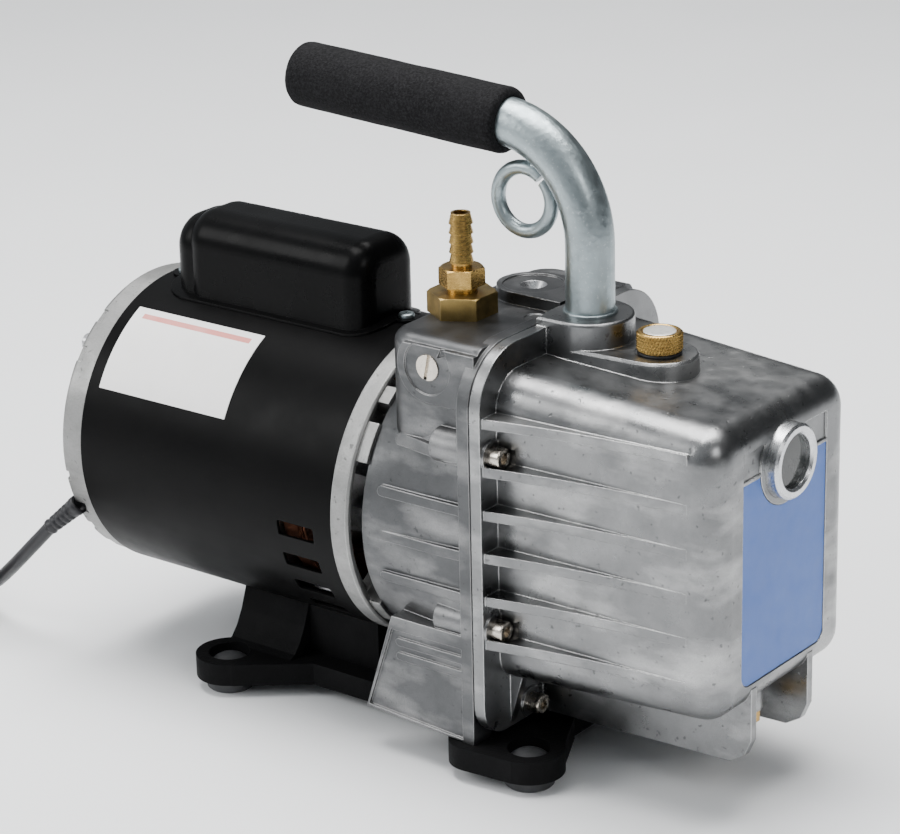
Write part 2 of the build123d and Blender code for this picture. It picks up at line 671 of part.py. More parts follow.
def handle_path():
    start, along = grip_frame()
    foot = Line((TUBE_X, 0, 176), (TUBE_X, 0, BEND_START_Z))
    bend = TangentArc((TUBE_X, 0, BEND_START_Z), start, tangent=(0, 0, 1))
    top = Line(start, start + along * STRAIGHT_LENGTH)
    return Wire([foot, bend, top])


def handle_sweep(section):
    return sweep(Plane.XY.offset(176) * Pos(TUBE_X, 0) * section, path=handle_path())


def handle_tube():
    return handle_sweep(Circle(TUBE_R) - Circle(TUBE_BORE_R))


def handle_collar():
    collar = post(TUBE_X, 0, BOSS_TOP, BOSS_TOP + 1.3, TUBE_R + 1.2)
    return chamfer(collar.edges().sort_by(Axis.Z)[-1:], 0.4) - post(TUBE_X, 0, 150, 300, TUBE_R)


def hang_ring():
    x, z = RING_CENTRE
    loop = Pos(x, 0, z) * Rot(90, 0, 0) * Torus(RING_R, RING_WIRE_R)
    gap_angle = 47
    cut = Pos(x, 0, z) * Rot(0, -gap_angle, 0) * block(RING_R - 6, RING_R + 6, -8, 8, -1.1, 1.1)
    return loop - cut - handle_sweep(Circle(TUBE_R))


def foam_grip():
    start, along = grip_frame()
    plane = Plane(origin=start + along * GRIP_START, z_dir=along)
    grip = extrude(plane * Circle(GRIP_R), GRIP_LENGTH)
    grip = fillet(grip.edges(), 1.6)
    grip -= extrude(plane * Circle(TUBE_R), GRIP_LENGTH)
    return grip - handle_sweep(Circle(TUBE_R))


# ---------------------------------------------------------------- coupling and cartridge

def coupling():
    motor_hub = ring(-59, -46, 20, SHAFT_R)
    pump_hub = ring(-36, -22, 20, 8.0)
    spider = rod(-46, -36, 20)
    for k in range(3):
        jaw = sector(-46, -36, 20, 11, 120 * k - 22, 120 * k + 22)
        motor_hub += jaw
        spider -= jaw
        jaw = swing(jaw, 60)
        pump_hub += jaw
        spider -= jaw
    return motor_hub, spider, pump_hub


def pump_shaft():
    shaft = rod(-36, PLATE_END - 2, 8.0)
    return shaft


def stage_rotor(x0, x1):
    rotor = rod(x0 + RUNNING_GAP, x1 - RUNNING_GAP, ROTOR_R) - rod(x0 - 1, x1 + 1, 8.0)
    half = VANE_SLOT_T / 2
    for s in (-1, 1):
        y0, y1 = sorted((s * SLOT_FLOOR, s * (ROTOR_R + 2)))
        rotor -= block(x0 - 1, x1 + 1, y0, y1, AXIS_Z - half, AXIS_Z + half)
    return rotor


def vane(x0, x1, s):
    y0, y1 = sorted((s * (VANE_TIP - VANE_HEIGHT), s * VANE_TIP))
    blade = block(x0 + 0.1, x1 - 0.1, y0, y1, AXIS_Z - VANE_T / 2, AXIS_Z + VANE_T / 2)
    return blade


def vane_springs():
    springs = []
    coil = sweep(Plane.XZ * Pos(1.4, 0) * Circle(0.28), path=Helix(pitch=0.8, height=1.6, radius=1.4))
    for x0, x1 in STAGES:
        for s in (-1, 1):
            place = Pos((x0 + x1) / 2, s * (SLOT_FLOOR + 0.4), AXIS_Z) * Rot(-90 * s, 0, 0)
            springs.append(place * coil)
    return springs


def stage_stator(x0, x1):
    body = rod(x0, x1, 40)
    body -= rod(x0 - 1, x1 + 1, BORE_R, 0, AXIS_Z - ECCENTRICITY)
    for a, r in CARTRIDGE_BOLTS:
        y, z = around(a, r)
        body -= rod(x0 - 1, x1 + 1, 2.6, y, z)
    return body


def first_stage_stator():
    body = stage_stator(*STAGES[0])
    tower = block(0, 24, -32, -11.6, AXIS_Z + 30, 186)
    tower -= rod(-1, 14, 5.0, -20, 178)
    body += tower - rod(-1, 60, 30)
    body -= rod(-1, 60, 2.6, *around(*CARTRIDGE_BOLTS[0]))
    body -= post(12, -20, AXIS_Z + 10, 178, 4.0)
    return body


def second_stage_stator():
    body = stage_stator(*STAGES[1])
    flat_z = AXIS_Z + 36
    body -= block(30, 60, -30, 30, flat_z, 200)
    body -= post(44.5, 2, AXIS_Z + 10, 160, 2.0)
    return body


def cartridge_plate(x0, x1):
    plate = rod(x0, x1, 40) - rod(x0 - 1, x1 + 1, 8 + RUNNING_GAP)
    for a, r in CARTRIDGE_BOLTS:
        y, z = around(a, r)
        plate -= rod(x0 - 1, x1 + 1, 2.6, y, z)
    return plate


def cartridge_bolts():
    bolts = []
    for a, r in CARTRIDGE_BOLTS:
        y, z = around(a, r)
        bolts.append(rod(0.5, PLATE_END, 2.5, y, z) + rod(PLATE_END, PLATE_END + 4, 4.2, y, z))
    return bolts


def exhaust_valve():
    """Reed on the second stage's flat, and the stop that limits its lift."""
    z = AXIS_Z + 36
    reed = block(40.5, 48.5, -13.8, 8, z + 0.1, z + 0.5)
    profile = ((-24, z), (-14.2, z), (-14.2, z + 1.2), (8, z + 5), (8, z + 6), (-16, z + 2.4), (-24, z + 2.4))
    stop = extrude(Plane.YZ.offset(40.5) * make_face(Polyline(*profile, close=True)), 8)
    return reed, stop


def shaft_seal():
    return ring(-14, -5, 17, 8 + RUNNING_GAP)


# ---------------------------------------------------------------- start switch and cord

def start_switch():
    """Rocker in its bezel on the rear face. It rests in the off position."""
    y, z = 0.0, SWITCH_Z
    bezel = block(REAR_FACE - 2, REAR_FACE, y - 12.5, y + 12.5, z - 17, z + 17)
    bezel += block(REAR_FACE, REAR_FACE + 12, y - 10.8, y + 10.8, z - 15.3, z + 15.3)
    window = block(REAR_FACE - 4, REAR_FACE + 9, y - 8.2, y + 8.2, z - 12.4, z + 12.4)
    bezel -= window
    pivot_x = REAR_FACE + 2
    bezel -= pin_y(pivot_x, z, -20, 20, 1.65)
    tilt = 8
    nose = REAR_FACE - 2.6
    rise = 3.2
    profile = ((pivot_x + 4, z - 7), (pivot_x + 4, z + 7), (nose + 2, z + 11), (nose - rise + 1.2, z + 11), (nose, z),
               (nose - rise + 1.2, z - 11), (nose + 2, z - 11))
    rocker = flat_xz(profile, y - 7.9, y + 7.9) + pin_y(pivot_x, z, -9.6, 9.6, 1.6)
    rocker = Pos(pivot_x, 0, z) * Rot(0, tilt, 0) * Pos(-pivot_x, 0, -z) * rocker
    return bezel, rocker


def cord_line():
    """Cord's path: straight runs joined by arcs as large as the runs allow."""
    points = [Vector(*p) for p in CORD_ROUTE]
    radii = []
    for a, b, c in zip(points, points[1:], points[2:]):
        turn = radians((b - a).get_angle(c - b))
        shorter = min((b - a).length, (c - b).length)
        radii.append(0.45 * shorter / tan(turn / 2))
    print("cord radii", [round(r, 1) for r in radii])
    return FilletPolyline(*points, radius=radii)


def power_cord():
    path = cord_line()
    start = Plane(origin=path @ 0, z_dir=path % 0)
    tube = sweep(start * Circle(CORD_R), path=path)
    ratio = tube.volume / (pi * CORD_R ** 2 * path.length)
    print("cord length", round(path.length, 1), "volume ratio", round(ratio, 4))
    return tube


def strain_relief():
    root, tip = Vector(*CORD_EXIT), Vector(*CORD_ROUTE[0])
    along = tip - root
    plane = Plane(origin=root, z_dir=along)
    cone = plane * Cone(5.3, 3.9, along.length, align=(Align.CENTER, Align.CENTER, Align.MIN))
    collar = Pos(REAR_FACE + 2, CORD_EXIT[1] + 4.5, CORD_EXIT[2] + 1.5) * Rot(0, 90, 0) * Cylinder(5.4, 6)
    return cone + collar


def cord_coil():
    x, y = COIL_CENTRE
    half_width = 3 * CORD_R
    height = 2 * CORD_R * COIL_LAYERS
    coil = post(x, y, 0.1, 0.1 + height, COIL_TURN_R + half_width)
    coil -= post(x, y, -1, height + 2, COIL_TURN_R - half_width)
    return fillet(coil.edges().filter_by(GeomType.CIRCLE), 3.0)


def plug():
    """Plug lying on the coil, in line with the end of its last turn, with its three blades."""
    x, y = COIL_CENTRE[0] + 22.5, COIL_CENTRE[1] - 27.0
    z = 0.1 + 2 * CORD_R * COIL_LAYERS + 11.5
    body = block(x - 12, x + 24, y - 13, y + 13, z - 11.5, z + 11.5)
    body = fillet(body.edges().filter_by(GeomType.LINE), 5.0)
    neck = Pos(x - 10, y, z) * Rot(0, -90, 0) * Cone(8.5, 4.2, 29, align=(Align.CENTER, Align.CENTER, Align.MIN))
    body += neck
    blades = []
    for s in (-1, 1):
        blade = block(x + 24, x + 41, y + s * 6.35 - 0.75, y + s * 6.35 + 0.75, z - 1.0, z + 5.4)
        blades.append(blade)
    blades.append(rod(x + 24, x + 44, 2.4, y, z - 6.5))
    return body, blades


def main():
    os.makedirs("parts", exist_ok=True)
    save("base_frame", base_frame())
    save("rubber_feet", *rubber_feet())
    save("motor_shell", motor_shell())
    save("rear_end_shield", rear_end_shield())
    save("front_end_shield", front_end_shield())
    save("motor_through_bolts", *motor_through_bolts())
    laminations, windings = stator()
    save("stator_laminations", laminations)
    save("stator_windings", windings)
    save("rotor_core", motor_rotor())
    save("motor_shaft", motor_shaft())
    save("cooling_fan", cooling_fan())
    save("centrifugal_switch", centrifugal_switch())
    outer, inner, balls = bearings()
    save("bearing_outer_races", *outer)
    save("bearing_inner_races", *inner)
    save("bearing_balls", *balls)
    save("capacitor", rod(-195, -110, 17.5, 0, AXIS_Z + SHELL_R + 18.5))
    save("capacitor_cover", capacitor_cover())
    save("cover_screws", *cover_screws())
    save("motor_sticker", motor_sticker())

    save("pump_housing", pump_housing())
    save("intake_bushing", intake_bushing())
    save("hose_barb", hose_barb())
    save("isolation_valve_plug", isolation_valve_plug())
    save("gas_ballast_screw", gas_ballast_screw())
    save("oil_reservoir", oil_reservoir())
    save("reservoir_gasket", reservoir_gasket())
    save("reservoir_screws", *reservoir_screws())
    save("name_plate", name_plate())
    bezel, lens = sight_glass()
    save("sight_glass_ring", bezel)
    save("sight_glass_lens", lens)
    cap, o_ring = oil_fill()
    save("oil_fill_cap", cap)
    save("oil_cap_o_ring", o_ring)
    save("oil_drain_plug", drain_plug())

    save("handle_tube", handle_tube())
    save("handle_collar", handle_collar())
    save("hang_ring", hang_ring())
    save("foam_grip", foam_grip())

    motor_hub, spider, pump_hub = coupling()
    save("coupling_hubs", motor_hub, pump_hub)
    save("coupling_spider", spider)
    save("pump_shaft", pump_shaft())
    save("stage_rotors", *[stage_rotor(*span) for span in STAGES])
    names = (("first_vane_near", "first_vane_far"), ("second_vane_near", "second_vane_far"))
    for pair, span in zip(names, STAGES):
        for name, s in zip(pair, (-1, 1)):
            save(name, vane(*span, s))
    save("vane_springs", *vane_springs())
    save("first_stage_stator", first_stage_stator())
    save("second_stage_stator", second_stage_stator())
    middle_plate = cartridge_plate(STAGES[0][1], STAGES[1][0])
    save("cartridge_plates", middle_plate, cartridge_plate(STAGES[1][1], PLATE_END))
    save("cartridge_bolts", *cartridge_bolts())
    reed, stop = exhaust_valve()
    save("exhaust_reed", reed)
    save("exhaust_reed_stop", stop)
    save("shaft_seal", shaft_seal())

    bezel, rocker = start_switch()
    save("switch_bezel", bezel)
    save("start_switch", rocker)
    save("strain_relief", strain_relief())
    save("power_cord", power_cord())
    save("cord_coil", cord_coil())
    body, blades = plug()
    save("power_plug", body)
    save("plug_blades", *blades)


main()
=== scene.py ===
import bpy
import bmesh
import json
from math import cos, pi, radians, sin
from mathutils import Matrix, Vector, noise


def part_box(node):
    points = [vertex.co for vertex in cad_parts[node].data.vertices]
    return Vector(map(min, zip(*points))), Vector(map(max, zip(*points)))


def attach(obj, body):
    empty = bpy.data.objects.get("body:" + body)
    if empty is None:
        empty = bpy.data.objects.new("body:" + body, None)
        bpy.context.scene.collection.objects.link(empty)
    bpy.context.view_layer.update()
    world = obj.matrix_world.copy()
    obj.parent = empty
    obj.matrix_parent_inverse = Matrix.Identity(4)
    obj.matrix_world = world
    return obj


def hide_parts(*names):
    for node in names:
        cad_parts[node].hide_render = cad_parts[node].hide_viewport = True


# Rotary vane vacuum pump. Everything is in metres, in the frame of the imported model:
# +X is the front, -Y the side with the gas ballast, Z is up and the floor is z = 0.
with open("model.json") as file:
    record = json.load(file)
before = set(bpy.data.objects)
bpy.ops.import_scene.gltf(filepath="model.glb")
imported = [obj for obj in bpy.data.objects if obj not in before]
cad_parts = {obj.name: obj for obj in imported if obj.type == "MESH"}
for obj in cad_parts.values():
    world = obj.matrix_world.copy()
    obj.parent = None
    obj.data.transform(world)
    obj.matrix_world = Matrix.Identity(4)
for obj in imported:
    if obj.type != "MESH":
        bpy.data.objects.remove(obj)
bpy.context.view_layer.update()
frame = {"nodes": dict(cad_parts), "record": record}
NODES = frame["nodes"]
SHIFT_X = 0.0626                    # the parting plane's x
SHAFT_Z = 0.1096


def at(x, y, z):
    """Row frame point in metres from millimetres with x counted from the parting plane."""
    return Vector((x / 1000 + SHIFT_X, y / 1000, z / 1000))


# ---------------------------------------------------------------- camera and stage

def make_camera():
    data = bpy.data.cameras.new("camera")
    data.lens = 127.5
    data.sensor_width = 36.0
    data.clip_end = 50.0
    camera = bpy.data.objects.new("camera", data)
    bpy.context.scene.collection.objects.link(camera)
    right = Vector((0.7941, 0.6075, -0.0211)).normalized()
    ahead = Vector((-0.5761, 0.7410, -0.3450)).normalized()
    up = right.cross(ahead).normalized()
    right = ahead.cross(up).normalized()
    turn = Matrix((right, up, -ahead)).transposed().to_4x4()
    camera.matrix_world = Matrix.Translation(at(792.44, -1101.68, 654.22)) @ turn
    bpy.context.scene.camera = camera


def area_light(name, place, target, size_x, size_y, power, color=(1, 1, 1)):
    data = bpy.data.lights.new(name, "AREA")
    data.shape = "RECTANGLE"
    data.size = size_x
    data.size_y = size_y
    data.energy = power
    data.color = color
    light = bpy.data.objects.new(name, data)
    bpy.context.scene.collection.objects.link(light)
    light.location = place
    light.rotation_euler = (Vector(target) - Vector(place)).to_track_quat("-Z", "Y").to_euler()


def make_lights():
    """Soft studio light: bright above and to the left front, darker to the right and behind."""
    world = bpy.data.worlds.new("studio")
    bpy.context.scene.world = world
    world.use_nodes = True
    tree = world.node_tree
    sky = tree.nodes["Background"]
    sky.inputs["Strength"].default_value = 1.0
    place = tree.nodes.new("ShaderNodeTexCoord")
    dot = tree.nodes.new("ShaderNodeVectorMath")
    dot.operation = "DOT_PRODUCT"
    dot.inputs[1].default_value = (-0.62, -0.42, 0.66)
    ramp = tree.nodes.new("ShaderNodeValToRGB")
    ramp.color_ramp.elements[0].position = 0.0
    ramp.color_ramp.elements[0].color = (0.10, 0.105, 0.11, 1)
    ramp.color_ramp.elements[1].position = 0.85
    ramp.color_ramp.elements[1].color = (0.66, 0.69, 0.72, 1)
    tree.links.new(place.outputs["Generated"], dot.inputs[0])
    tree.links.new(dot.outputs["Value"], ramp.inputs["Fac"])
    tree.links.new(ramp.outputs["Color"], sky.inputs["Color"])
    area_light("overhead", (-0.2, 0.15, 1.9), (0, 0, 0.05), 1.6, 1.3, 84.0, (1.0, 0.99, 0.98))
    area_light("key", (-1.35, -1.45, 1.25), (0, 0, 0.1), 0.9, 1.1, 24.0, (1.0, 1.0, 0.99))
    area_light("fill", (1.7, -0.7, 1.4), (0, 0, 0.1), 0.7, 0.7, 9.0)


# ---------------------------------------------------------------- materials

class Finish:
    """Builds one procedural finish in object space."""

    def __init__(self, name, color, metallic=0.0, roughness=0.5, **plain):
        self.material = bpy.data.materials.new(name)
        self.material.use_nodes = True
        self.tree = self.material.node_tree
        self.shader = self.tree.nodes["Principled BSDF"]
        self.shader.inputs["Base Color"].default_value = (*color, 1)
        self.shader.inputs["Metallic"].default_value = metallic
        self.shader.inputs["Roughness"].default_value = roughness
        for key, value in plain.items():
            self.shader.inputs[key.replace("_", " ")].default_value = value
        self.place = self.node("ShaderNodeTexCoord").outputs["Object"]
        self.color = None
        self.start_color = (*color, 1)
        self.height = []
        self.soft_edge = None

    def node(self, kind, **settings):
        made = self.tree.nodes.new(kind)
        for key, value in settings.items():
            setattr(made, key, value)
        return made

    def join(self, source, target):
        self.tree.links.new(source, target)

    def stretched(self, scale):
        mapping = self.node("ShaderNodeMapping")
        mapping.inputs["Scale"].default_value = scale
        self.join(self.place, mapping.inputs["Vector"])
        return mapping.outputs["Vector"]

    def grain(self, scale, detail=3.0, stretch=None, rough=0.55):
        """Noise of a scale per metre."""
        made = self.node("ShaderNodeTexNoise")
        made.inputs["Scale"].default_value = scale
        made.inputs["Detail"].default_value = detail
        made.inputs["Roughness"].default_value = rough
        self.join(self.stretched(stretch) if stretch else self.place, made.inputs["Vector"])
        return made.outputs["Fac"]

    def cells(self, scale):
        """Rounded cells of a scale per metre."""
        made = self.node("ShaderNodeTexVoronoi")
        made.inputs["Scale"].default_value = scale
        self.join(self.place, made.inputs["Vector"])
        return made.outputs["Distance"]

    def between(self, value, low, high, out_low=0.0, out_high=1.0):
        made = self.node("ShaderNodeMapRange")
        made.inputs["From Min"].default_value = low
        made.inputs["From Max"].default_value = high
        made.inputs["To Min"].default_value = out_low
        made.inputs["To Max"].default_value = out_high
        self.join(value, made.inputs["Value"])
        return made.outputs["Result"]

    def math(self, operation, first, second):
        made = self.node("ShaderNodeMath", operation=operation)
        for socket, value in zip(made.inputs, (first, second)):
            if isinstance(value, (int, float)):
                socket.default_value = value
            else:
                self.join(value, socket)
        return made.outputs[0]

    def tint(self, mask, color):
        """Mixes a colour in where the mask is 1."""
        mix = self.node("ShaderNodeMix", data_type="RGBA")
        if self.color is None:
            mix.inputs["A"].default_value = self.start_color
        else:
            self.join(self.color, mix.inputs["A"])
        mix.inputs["B"].default_value = (*color, 1)
        self.join(mask, mix.inputs["Factor"])
        self.color = mix.outputs["Result"]
        return self

    def shine(self, value):
        self.join(value, self.shader.inputs["Roughness"])
        return self

    def bump(self, height, distance, strength=1.0):
        self.height.append((height, distance, strength))
        return self

    def edges(self, radius):
        """Softens the CAD edges' light over a radius."""
        made = self.node("ShaderNodeBevel", samples=4)
        made.inputs["Radius"].default_value = radius
        self.soft_edge = made.outputs["Normal"]
        return self

    def edge_mask(self, low=0.015, high=0.12):
        """1 along the edges, where the softened normal leaves the true one."""
        true = self.node("ShaderNodeNewGeometry").outputs["Normal"]
        dot = self.node("ShaderNodeVectorMath", operation="DOT_PRODUCT")
        self.join(true, dot.inputs[0])
        self.join(self.soft_edge, dot.inputs[1])
        away = self.math("SUBTRACT", 1.0, dot.outputs["Value"])
        return self.between(away, low, high)

    def done(self):
        if self.color is not None:
            self.join(self.color, self.shader.inputs["Base Color"])
        normal = self.soft_edge
        for height, distance, strength in self.height:
            made = self.node("ShaderNodeBump")
            made.inputs["Distance"].default_value = distance
            made.inputs["Strength"].default_value = strength
            self.join(height, made.inputs["Height"])
            if normal is not None:
                self.join(normal, made.inputs["Normal"])
            normal = made.outputs["Normal"]
        if normal is not None:
            self.join(normal, self.shader.inputs["Normal"])
        return self.material


def painted_black(name, color, low, high, peel, peel_depth, dust=0.35, gloss=0.06):
    f = Finish(name, color, Specular_IOR_Level=gloss).edges(0.0005)
    f.tint(f.between(f.grain(38, 4), 0.35, 0.75, 0, dust), tuple(2.6 * c for c in color))
    f.tint(f.between(f.grain(2600, 2), 0.74, 0.8, 0, 0.3), (0.12, 0.12, 0.12))
    f.shine(f.between(f.grain(60, 4), 0.3, 0.7, low, high))
    f.bump(f.grain(peel, 2), peel_depth, 0.6)
    return f.done()


def cast_metal(name, color, dark, bright, low, high, pit=0.5, blotch=0.5, grit=1500, depth=0.00012,
               radius=0.0008):
    """Die cast aluminium: blotches, fine grain, pits, and edges lightened partly by wear and partly by a
    painted edge highlight.
    """
    f = Finish(name, color, metallic=1.0).edges(radius)
    blotches = f.grain(46, 6, rough=0.62)
    f.tint(f.between(blotches, 0.36, 0.68, 0, blotch), dark)
    f.tint(f.between(f.grain(19, 4, stretch=(1.0, 1.0, 2.4)), 0.5, 0.72, 0, blotch), bright)
    pits = f.between(f.grain(330, 2), 0.66, 0.74, 0, pit)
    f.tint(pits, tuple(0.35 * c for c in dark))
    f.tint(f.between(f.grain(grit, 2), 0.35, 0.7, 0, 0.22), dark)
    # Edges lightened in colour: partly rubbed wear, partly a painted highlight where light catches the edges.
    edge_wear_and_highlight = f.edge_mask()
    f.tint(f.math("MULTIPLY", edge_wear_and_highlight, 0.75), bright)
    rough = f.between(f.grain(85, 5), 0.3, 0.72, low, high)
    f.shine(f.math("SUBTRACT", rough, f.math("MULTIPLY", edge_wear_and_highlight, 0.1)))
    f.bump(f.grain(grit, 3), depth, 0.45)
    f.bump(f.grain(75, 3), 0.0009, 0.16)
    f.bump(f.math("SUBTRACT", 1.0, pits), 0.0003, 0.5)
    return f.done()


def turned_metal(name, color, dark, low, high, grain=260, wear=0.4, lines=(1, 1, 1), radius=0.0003):
    """Machined or plated metal with tarnish, tool lines and a painted highlight along the edges."""
    f = Finish(name, color, metallic=1.0).edges(radius)
    f.tint(f.between(f.grain(120, 5), 0.42, 0.7, 0, wear), dark)
    f.tint(f.between(f.grain(900, 3, stretch=lines), 0.45, 0.75, 0, 0.3 * wear), dark)
    # Painted highlight: the edges get a brighter copy of the metal's colour where light would catch them.
    f.tint(f.math("MULTIPLY", f.edge_mask(0.02, 0.2), 0.35), tuple(min(1.0, 1.25 * c) for c in color))
    f.shine(f.between(f.grain(grain, 4, stretch=lines), 0.3, 0.7, low, high))
    f.bump(f.grain(grain * 4, 2, stretch=lines), 0.00006, 0.5)
    return f.done()


def rubbery(name, color, low, high, grit=1800, depth=0.00008):
    f = Finish(name, color, Specular_IOR_Level=0.38)
    f.tint(f.between(f.grain(55, 4), 0.4, 0.75, 0, 0.5), tuple(2.4 * c for c in color))
    f.tint(f.between(f.grain(3200, 2), 0.7, 0.78, 0, 0.3), (0.12, 0.12, 0.12))
    f.shine(f.between(f.grain(140, 4), 0.3, 0.7, low, high))
    f.bump(f.grain(grit, 3), depth, 0.6)
    return f.done()


def zinc_finish():
    f = Finish("zinc", (0.33, 0.385, 0.40), metallic=1.0).edges(0.0004)
    f.tint(f.between(f.grain(60, 5), 0.38, 0.7, 0, 0.55), (0.31, 0.355, 0.37))
    f.tint(f.between(f.grain(700, 2), 0.62, 0.72, 0, 0.35), (0.66, 0.71, 0.72))
    marks = f.between(f.grain(95, 2, stretch=(1, 1, 3.4)), 0.725, 0.745, 0, 0.6)
    f.tint(marks, (0.13, 0.14, 0.15))
    f.shine(f.between(f.grain(240, 4), 0.3, 0.7, 0.30, 0.46))
    f.bump(f.cells(420), 0.00025, 0.3)
    f.bump(f.grain(1300, 2), 0.00008, 0.4)
    return f.done()


def foam_finish():
    f = Finish("foam", (0.006, 0.006, 0.0065), roughness=0.92, Specular_IOR_Level=0.1)
    f.tint(f.between(f.grain(900, 3), 0.4, 0.7, 0, 0.8), (0.020, 0.020, 0.0215))
    f.tint(f.between(f.grain(30, 3), 0.45, 0.75, 0, 0.4), (0.014, 0.014, 0.015))
    f.shine(f.between(f.grain(600, 3), 0.3, 0.7, 0.82, 0.97))
    f.bump(f.cells(1500), 0.0004, 0.5)
    f.bump(f.grain(520, 4), 0.0005, 0.35)
    return f.done()


def label_finish():
    """Plain film with one band and no lettering."""
    f = Finish("white_label", (0.84, 0.83, 0.82), roughness=0.42)
    split = f.node("ShaderNodeSeparateXYZ")
    f.join(f.place, split.inputs[0])
    height = f.math("SUBTRACT", split.outputs["Z"], SHAFT_Z)
    angle = f.math("ARCTAN2", f.math("MULTIPLY", split.outputs["Y"], -1.0), height)
    above = f.math("GREATER_THAN", angle, 0.535)
    below = f.math("LESS_THAN", angle, 0.575)
    across = f.math("MULTIPLY", above, below)
    inside = f.math("GREATER_THAN", split.outputs["X"], -0.1565)
    inside = f.math("MULTIPLY", inside, f.math("LESS_THAN", split.outputs["X"], -0.0885))
    f.tint(f.math("MULTIPLY", f.math("MULTIPLY", across, inside), 0.85), (0.62, 0.12, 0.09))
    f.tint(f.between(f.grain(70, 4), 0.45, 0.8, 0, 0.25), (0.70, 0.69, 0.67))
    f.shine(f.between(f.grain(200, 3), 0.3, 0.7, 0.36, 0.5))
    f.bump(f.grain(90, 3), 0.0006, 0.12)
    return f.done()


def plate_finish():
    f = Finish("blue_plate", (0.055, 0.14, 0.45), metallic=0.1, roughness=0.4).edges(0.0003)
    f.tint(f.between(f.grain(26, 4), 0.4, 0.7, 0, 0.35), (0.075, 0.17, 0.50))
    f.tint(f.between(f.grain(2400, 2), 0.69, 0.77, 0, 0.4), (0.40, 0.50, 0.72))
    f.tint(f.edge_mask(0.05, 0.3), (0.55, 0.58, 0.64))
    f.shine(f.between(f.grain(120, 4), 0.3, 0.7, 0.34, 0.48))
    f.bump(f.grain(1500, 2), 0.00006, 0.4)
    return f.done()


def glass_finish():
    """Opaque glass whose dark base colour stands for the inside of the reservoir: the oil's own dark and
    painted shade of the unlit inside.
    """
    f = Finish("glass", (0.018, 0.020, 0.019), roughness=0.06, Specular_IOR_Level=0.4, Coat_Weight=0.15,
               Coat_Roughness=0.03)
    f.tint(f.between(f.grain(85, 5, stretch=(1, 1, 0.6)), 0.4, 0.72, 0, 0.8), (0.055, 0.06, 0.056))
    f.tint(f.between(f.grain(260, 4), 0.6, 0.72, 0, 0.7), (0.03, 0.033, 0.03))
    f.shine(f.between(f.grain(180, 4), 0.4, 0.7, 0.04, 0.16))
    f.bump(f.grain(120, 3), 0.0003, 0.15)
    return f.done()


def copper_finish():
    f = Finish("copper", (0.16, 0.06, 0.03), metallic=0.8, roughness=0.35)
    f.tint(f.between(f.grain(150, 4), 0.45, 0.7, 0, 0.6), (0.06, 0.022, 0.012))
    wires = f.node("ShaderNodeTexWave", bands_direction="X")
    wires.inputs["Scale"].default_value = 420.0
    wires.inputs["Distortion"].default_value = 2.0
    f.join(f.place, wires.inputs["Vector"])
    f.shine(f.between(f.grain(300, 3), 0.3, 0.7, 0.28, 0.45))
    f.bump(wires.outputs["Fac"], 0.0006, 0.8)
    return f.done()


def floor_finish():
    f = Finish("floor", (0.90, 0.91, 0.92), roughness=0.6, Specular_IOR_Level=0.3)
    f.tint(f.between(f.grain(2.0, 3), 0.3, 0.7, 0, 0.25), (0.88, 0.89, 0.91))
    f.shine(f.between(f.grain(9.0, 3), 0.3, 0.7, 0.5, 0.6))
    return f.done()


